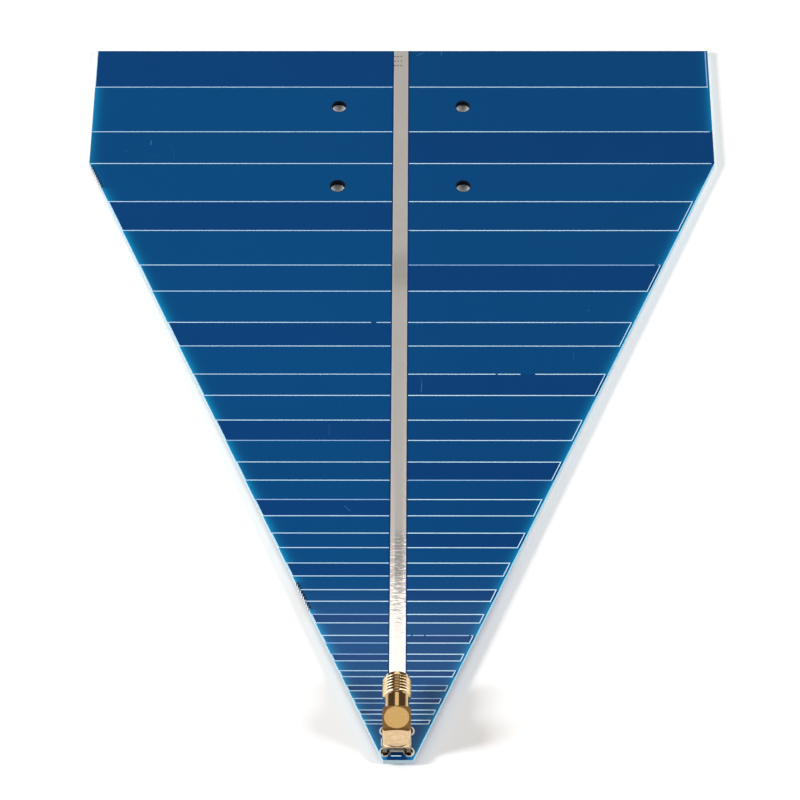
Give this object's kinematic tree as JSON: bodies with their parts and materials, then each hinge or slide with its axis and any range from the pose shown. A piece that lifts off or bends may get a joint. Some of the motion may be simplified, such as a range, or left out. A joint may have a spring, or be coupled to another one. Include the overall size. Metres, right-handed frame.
{
  "type": "log-periodic antenna",
  "caption": "Tapered printed-circuit log-periodic dipole antenna with a tinned feeder strip, mounting holes at the wide end and a right-angle coaxial jack at the tip.",
  "frame": {"origin": "middle of the four mounting holes, on the board's underside", "axes": "+Z out of the face that carries the jack, +Y along the feeder towards the wide back edge, +X to the right"},
  "size_m": [0.15, 0.2, 0.013],
  "materials": {
    "laminate": "routed glass-epoxy",
    "copper": "etched copper",
    "mask": "glossy blue solder mask",
    "tin": "hot-air levelled tin",
    "print": "white screen print",
    "gold": "gold plated brass",
    "insulator": "white fluoropolymer",
    "solder": "shiny solder"
  },
  "bodies": {
    "root": {"laminate": "laminate", "front_copper": "copper", "back_copper": "copper", "front_mask": "mask", "back_mask": "mask", "front_tin": "tin", "back_tin": "tin", "front_print": "print", "pad_plating": "tin", "via_plating": "tin", "jack_block": "gold", "jack_barrel": "gold", "barrel_insulator": "insulator", "block_insulator": "insulator", "socket_contact": "gold", "board_pin": "gold", "leg_solder_back_left": "solder", "leg_solder_back_right": "solder", "leg_solder_tip_left": "solder", "leg_solder_tip_right": "solder", "pin_solder": "solder"}
  },
  "joints": []
}
